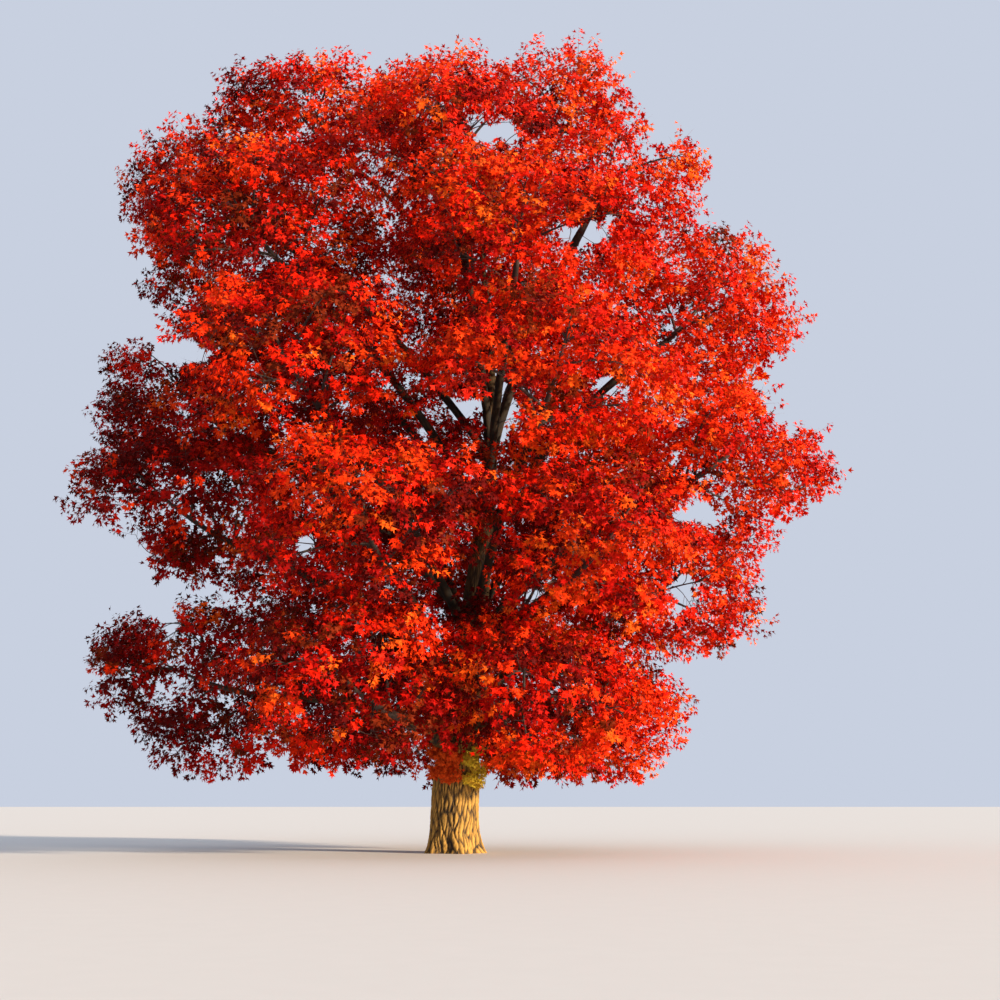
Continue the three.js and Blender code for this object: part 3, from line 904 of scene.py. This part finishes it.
def scatter(masses, settings, rng):
    """Places for clumps: close together near the crown's outside, further apart within it."""
    tried = []
    for number, mass in enumerate(masses):
        way = unit(rng.normal(size=(CANDIDATES, 3)))
        squash = np.linalg.norm(way * (1, 1, FLATTENING), axis=1)
        ends = unit(rounded(np.array([twig[-1] for twig in mass.twigs]) - mass.middle))
        off_puff = np.degrees(np.arccos(np.clip((way @ ends.T).max(axis=1), -1, 1)))
        hollow = settings.hollow_depth * np.clip((off_puff - PUFF_BREADTH) / PUFF_BREADTH, 0, 1)
        beneath = lerp(settings.clump_radius * OUTERMOST, DEEPEST, rng.random(CANDIDATES) ** CROWDING)
        depth = beneath + hollow
        offset = way * (mass.radius - depth / squash)[:, None]
        inside = (offset @ mass.walls.T < mass.offsets).all(axis=1)
        place = mass.middle + offset * (1, 1, FLATTENING)
        share = np.clip(beneath - settings.clump_radius, 0, 1)
        spacing = lerp(settings.near_spacing, settings.far_spacing, share)
        spacing = np.where(way @ mass.outward < BACKWARD, spacing * BACK_SPACING, spacing)
        tried.append(np.column_stack([place, depth, spacing, np.full(CANDIDATES, number)])[inside])
    tried = np.concatenate(tried)
    # The outermost come first, and each keeps its spacing to those before it.
    tried = tried[np.argsort(tried[:, 3], kind="stable")]
    kept = np.empty_like(tried)
    count = 0
    for row in tried:
        apart = kept[:count, :3] - row[:3]
        if count == 0 or (apart * apart).sum(axis=1).min() > row[4] ** 2:
            kept[count] = row
            count += 1
    kept = kept[:count]
    kept = kept[~(in_gap(kept[:, :3], rng) & (rng.random(count) < CLEARED))]
    # The clumps between and below the masses each belong to the nearest one.
    eye = np.array(EYE)
    filled = [eye + ((x, 0, z) - eye) * (1 - y / EYE[1]) for x, z in FILLED for y in FILLED_DEPTHS]
    low = np.array([*filled, *DROOPS])
    far = [np.linalg.norm(rounded(low - mass.middle), axis=1) for mass in masses]
    spots = np.concatenate([kept[:, :3], low])
    owners = np.concatenate([kept[:, 5].astype(int), np.argmin(far, axis=0)])
    return spots, owners, np.concatenate([kept[:, 3], np.zeros(len(low))])


def roots_of(spots, owners, masses):
    """Where each spray leaves a twig or the stem of its mass, and the way that this limb runs there."""
    feet = np.empty_like(spots)
    leads = np.empty_like(spots)
    for number, mass in enumerate(masses):
        mine = owners == number
        shares = np.linspace(FIRST_BRANCHLET, 1, BRANCHLET_PLACES)
        paths = [even(path, shares) for path in [mass.stem, *mass.twigs]]
        places = np.concatenate(paths)
        ways = unit(np.concatenate([np.gradient(path, axis=0) for path in paths]))
        across = spots[mine][:, None] - places
        far = np.linalg.norm(across, axis=2)
        turn = (across * ways).sum(axis=2) / np.maximum(far, 1e-6)
        cost = np.maximum(far, SHORTEST_BRANCHLET) * (1 + TURN_COST - TURN_COST * turn)
        best = np.argmin(cost, axis=1)
        feet[mine] = places[best]
        leads[mine] = ways[best]
    return feet, leads


def along_boughs(masses, spots, rng):
    """Feet, ways and spots of clumps along the outer part of each bough and round the trunk."""
    heights = np.arange(CROWN_FOOT, TRUNK_HEIGHT - 1, BOUGH_CLUMP_STEP)
    paths = [trunk_axis(heights)]
    for mass in masses:
        if mass.bough is not None:
            length = length_of(mass.bough)
            count = int(length * (1 - BARE_SHARE) / BOUGH_CLUMP_STEP) + 1
            paths.append(even(mass.bough, np.linspace(BARE_SHARE, 1, count + 1)))
    feet = np.concatenate(paths)
    leads = np.concatenate([unit(np.gradient(path, axis=0)) for path in paths])
    side = rng.normal(size=feet.shape)
    side = unit(side - dot(side, leads) * leads)
    inner = feet + side * rng.uniform(*BOUGH_CLUMP_OUT, (len(feet), 1)) + leads * BOUGH_CLUMP_ON
    apart = np.linalg.norm(inner[:, None] - spots, axis=2).min(axis=1)
    kept = (apart > CLEARANCE) & ~in_gap(inner, rng)
    return feet[kept], leads[kept], inner[kept]


def grow_sprays(feet, leads, spots, outward, size, leaf, settings, rng):
    """A branchlet from each foot on a limb to its spot, with the shoots and leaves round it, as arrays."""
    def wobble(count, amount):
        return rng.normal(size=(count, 3)) * amount

    count = len(feet)
    length = np.linalg.norm(spots - feet, axis=1, keepdims=True)
    sweep = unit(leads + (0, 0, BRANCHLET_RISE)) * length * BRANCHLET_SWEEP
    bends = feet + sweep + wobble(count, BRANCHLET_WOBBLE)
    branchlets = bezier(feet, bends, spots, np.linspace(0, 1, BRANCHLET_POINTS))
    level = unit(np.cross(outward, (0, 0, 1)))
    upright = np.cross(outward, level)
    first = rng.random((count, 1)) * 2 * math.pi
    starts, ends = [], []
    for i in range(SHOOTS):
        onward = lerp(1, SHOOT_BACKMOST, (i + 0.5) / SHOOTS)
        onward = np.clip(onward + rng.uniform(-SHOOT_JITTER, SHOOT_JITTER, (count, 1)), -1, 1)
        angle = first + GOLDEN_TURN * i + rng.uniform(-SHOOT_TURN_JITTER, SHOOT_TURN_JITTER, (count, 1))
        spread = np.sqrt(1 - onward**2)
        way = outward * onward + (level * np.cos(angle) + upright * np.sin(angle)) * spread
        share = np.clip(LEVEL_SHOOT + ONWARD_SHOOT * onward, FIRST_SHOOT, 1) ** np.minimum(1, size / length)
        starts.append((1 - share) ** 2 * feet + 2 * share * (1 - share) * bends + share**2 * spots)
        stretch = size * rng.uniform(*SHOOT_LENGTHS, (count, 1))
        ends.append(spots + way * stretch * (1, 1, SHOOT_FLATTENING) + (0, 0, SHOOT_LIFT))
    start = np.stack(starts, axis=1).reshape(-1, 3)
    end = np.stack(ends, axis=1).reshape(-1, 3)
    run = end - start
    way = unit(run)
    face = unit(way + np.repeat(outward, SHOOTS, axis=0) + (0, 0, 1))
    upright = unit(face - dot(face, way) * way)
    side = np.cross(way, upright)
    owner = np.arange(len(start))
    leaves = []
    for number, along in enumerate((*LEAF_PAIRS, 1)):
        for turn in (-1, 1) if along < 1 else (0,):
            roll = number * math.pi / 2 + rng.normal(size=(len(start), 1)) * LEAF_ROLL
            out = (side * np.cos(roll) + upright * np.sin(roll)) * turn
            root = start + run * along
            out = out * LEAF_OUT + way * (LEAF_ON if turn else TIP_LEAF_ON) + wobble(len(root), LEAF_WOBBLE)
            blade = unit(out - np.array([0, 0, settings.droop]))
            look = face + wobble(len(root), settings.scatter)
            look = unit(look - dot(look, blade) * blade)
            big = np.repeat(leaf, SHOOTS, axis=0) * rng.uniform(*LEAF_SIZES, (len(root), 1))
            base = root + unit(out + blade / 2) * big * rng.uniform(*STALKS, (len(root), 1))
            leaves.append((root, base, blade, look, big, owner))
    leaves = [np.concatenate(part) for part in zip(*leaves)]
    shoots = np.stack([start, end], axis=1)
    return SimpleNamespace(branchlets=branchlets, length=length, shoots=shoots, leaves=leaves)


def seen(places):
    """Where the camera sees places, across and up in the trunk's plane."""
    eye = np.array((EYE[0], EYE[2]))
    return eye + (places[:, [0, 2]] - eye) * (-EYE[1] / (places[:, 1] - EYE[1]))[:, None]


def in_gap(places, rng, gaps=(*SKY_GAPS.values(), *INLETS.values())):
    """Which places stand before or behind a gap in the crown, with ragged edges."""
    spots = seen(places)
    x, z = spots.T
    ragged = 1 + 0.22 * np.sin(9 * x + 5 * z) + 0.2 * np.sin(13 * z - 7 * x)
    ragged += rng.uniform(-0.2, 0.2, len(x))
    gone = np.zeros(len(places), bool)
    for place, half in gaps:
        gone |= np.linalg.norm((spots - place) / half, axis=1) < ragged
    return gone


def in_inlet(*places):
    """Whether any of some places stands where the crown's edge turns in."""
    return any(
        math.hypot((across - x) / a, (up - z) / b) < 1
        for across, up in seen(np.array(places)) for (x, z), (a, b) in INLETS.values()
    )


def keep_leaves(leaves, rng):
    """Which leaves stay: those within the reach of the crown, above the ground and out of the gaps."""
    _, base, run, _, big, _ = leaves
    tip = base + run * big
    low, high = np.array(CAD_BOX)
    margin = (high - low) * REACH_MARGIN
    inside = ((tip > low - margin) & (tip < high + margin)).all(axis=1) & (tip[:, 2] > LOWEST)
    return inside & ~in_gap(base, rng)


def deal_tints(spots, depth, rng):
    """A tint for each spray, by its place in the crown, as painted light and shade: paler to the right and
    top, darker to the left, low and deep, and lighter and darker in puffs.
    """
    x, y, z = spots.T
    puffs = np.sin(1.7 * x + 1.2 * z + 0.5 * y) + np.sin(2.3 * z - x + 0.4 * y)
    across = x / FULL_RIGHT + PUFF_SHADE * puffs
    top_light = (z - MID_HEIGHT) / MID_HEIGHT
    recess_shade = np.clip(depth - INWARD_FROM, 0, INWARD_MOST)
    weights = [
        common + right * across + up * top_light + inward * recess_shade
        for _, common, right, up, inward in TINTS.values()
    ]
    weights = np.maximum(np.array(weights).T, RAREST)
    total = weights.cumsum(axis=1) / weights.sum(axis=1, keepdims=True)
    return (total < rng.random((len(spots), 1))).sum(axis=1)


def add_wood(name, sprays, nodes):
    """The branchlets and shoots of sprays, as two pieces."""
    share = np.linspace(0, 1, sprays.branchlets.shape[1])
    radii = lerp(np.minimum(THINNEST + THICKENING * sprays.length, THICKEST), SHOOT_RADIUS, share)
    places, faces, _ = rods(sprays.branchlets, radii, sides=4, pointed=True)
    finish = twig_finish(f"{name}_branchlets", srgb(62, 44, 38))
    add_piece(f"{name}_branchlets", places, faces, finish, nodes)
    radii = np.broadcast_to((SHOOT_RADIUS, 0), (len(sprays.shoots), 2))
    places, faces, _ = rods(sprays.shoots, radii, sides=3, pointed=True)
    finish = twig_finish(f"{name}_shoots", srgb(92, 34, 26))
    add_piece(f"{name}_shoots", places, faces, finish, nodes)


def leaf_outline():
    """A three-lobed leaf from its base at the origin: its corners across and along, and its faces."""
    bm = bmesh.new()
    for corners in LOBES:
        bm.faces.new([bm.verts.new((x, y, 0)) for x, y in corners])
    bmesh.ops.remove_doubles(bm, verts=bm.verts[:], dist=0.001)
    return arrays_of(bm)


def add_leaves(name, leaves, colour, settings, nodes):
    """A piece of single leaves in one tint, each a folded and curled blade on its stalk."""
    root, base, run, look, big, _ = leaves
    count = len(root)
    rng = np.random.default_rng(count)
    flat, faces = leaf_outline()
    across = np.cross(run, look)
    fold = rng.uniform(*FOLDS, (count, 1, 1))
    curl = rng.uniform(*CURLS, (count, 1, 1))
    x, y = flat[None, :, :1], flat[None, :, 1:2]
    rise = fold * np.abs(x) + curl * y * y
    blade = x * across[:, None] + y * run[:, None] + rise * look[:, None]
    blade = base[:, None] + blade * big[:, None]
    stalk = np.stack([root, root + across * STALK_BREADTH, base], axis=1)
    places = np.concatenate([blade, stalk], axis=1)
    faces = np.concatenate([faces, [len(flat) + np.arange(3)]])
    faces = copies_of(faces, count, places.shape[1])
    finish = leaf_finish(f"leaf_{name}", colour, settings)
    add_piece(f"leaves_{name}", places.reshape(-1, 3), faces, finish, nodes)


class MAPLE_OT_stage(bpy.types.Operator):
    """Sets the floor, the lights, the background and the camera"""

    bl_idname = "maple.stage"
    bl_label = "Stage"
    floor_size = 400

    def execute(self, context):
        settings = context.scene.maple_stage
        self.add_floor(settings)
        self.add_light(settings)
        self.add_camera(context.scene)
        world = bpy.data.worlds.new("studio")
        world.use_nodes = True
        background = world.node_tree.nodes["Background"]
        background.inputs["Color"].default_value = shaded(settings.sky_colour)
        background.inputs["Strength"].default_value = settings.sky_strength
        context.scene.world = world
        context.scene.view_settings.view_transform = "Standard"
        return {"FINISHED"}

    def add_floor(self, settings):
        bm = bmesh.new()
        bmesh.ops.create_grid(bm, x_segments=8, y_segments=8, size=self.floor_size / 2)
        mesh = bpy.data.meshes.new("floor")
        bm.to_mesh(mesh)
        bm.free()
        shader = Shader("floor")
        grain = shader.noise(scale=3, detail=3)
        shade = shader.mix(grain, shaded(settings.floor_colour, 0.96), shaded(settings.floor_colour))
        mesh.materials.append(shader.surface({"Base Color": shade, "Roughness": 0.9}))
        add_object("floor", mesh)

    def add_light(self, settings):
        lamp = bpy.data.lights.new("key", "SUN")
        lamp.energy = settings.key_strength
        lamp.color = settings.key_colour
        lamp.angle = settings.key_softness
        key = add_object("key", lamp)
        level = math.cos(settings.key_elevation)
        towards = Vector((
            level * math.sin(settings.key_azimuth),
            -level * math.cos(settings.key_azimuth),
            math.sin(settings.key_elevation),
        ))
        key.rotation_euler = towards.to_track_quat("Z", "Y").to_euler()

    def add_camera(self, scene):
        lens = bpy.data.cameras.new("camera")
        lens.lens = EYE_LENS
        lens.sensor_width = SENSOR_WIDTH
        lens.clip_end = 1000
        camera = add_object("camera", lens)
        camera.location = EYE
        camera.rotation_euler = (math.pi / 2 + EYE_PITCH, 0, 0)
        scene.camera = camera


SETTINGS = {"maple_bark": BarkSettings, "maple_foliage": FoliageSettings, "maple_stage": StageSettings}
OPERATORS = (
    MAPLE_OT_trunk, MAPLE_OT_boughs, MAPLE_OT_twigs, MAPLE_OT_sprays, MAPLE_OT_sprouts, MAPLE_OT_stage,
)


class VIEW3D_PT_maple(bpy.types.Panel):
    """The steps of the tree and their settings"""

    bl_label = "Red Maple"
    bl_space_type = "VIEW_3D"
    bl_region_type = "UI"
    bl_category = "Maple"

    def draw(self, context):
        for operator in OPERATORS:
            self.layout.operator(operator.bl_idname)
        for group in SETTINGS:
            box = self.layout.box()
            for name in SETTINGS[group].__annotations__:
                box.prop(getattr(context.scene, group), name)


def register():
    for kind in (*SETTINGS.values(), *OPERATORS, VIEW3D_PT_maple):
        bpy.utils.register_class(kind)
    for name, kind in SETTINGS.items():
        setattr(bpy.types.Scene, name, PointerProperty(type=kind))


def unregister():
    for name in SETTINGS:
        delattr(bpy.types.Scene, name)
    for kind in reversed((*SETTINGS.values(), *OPERATORS, VIEW3D_PT_maple)):
        bpy.utils.unregister_class(kind)


def main():
    register()
    bpy.ops.maple.trunk()
    bpy.ops.maple.boughs()
    bpy.ops.maple.twigs()
    bpy.ops.maple.sprays()
    bpy.ops.maple.sprouts()
    bpy.ops.maple.stage()


if __name__ == "__main__":
    main()
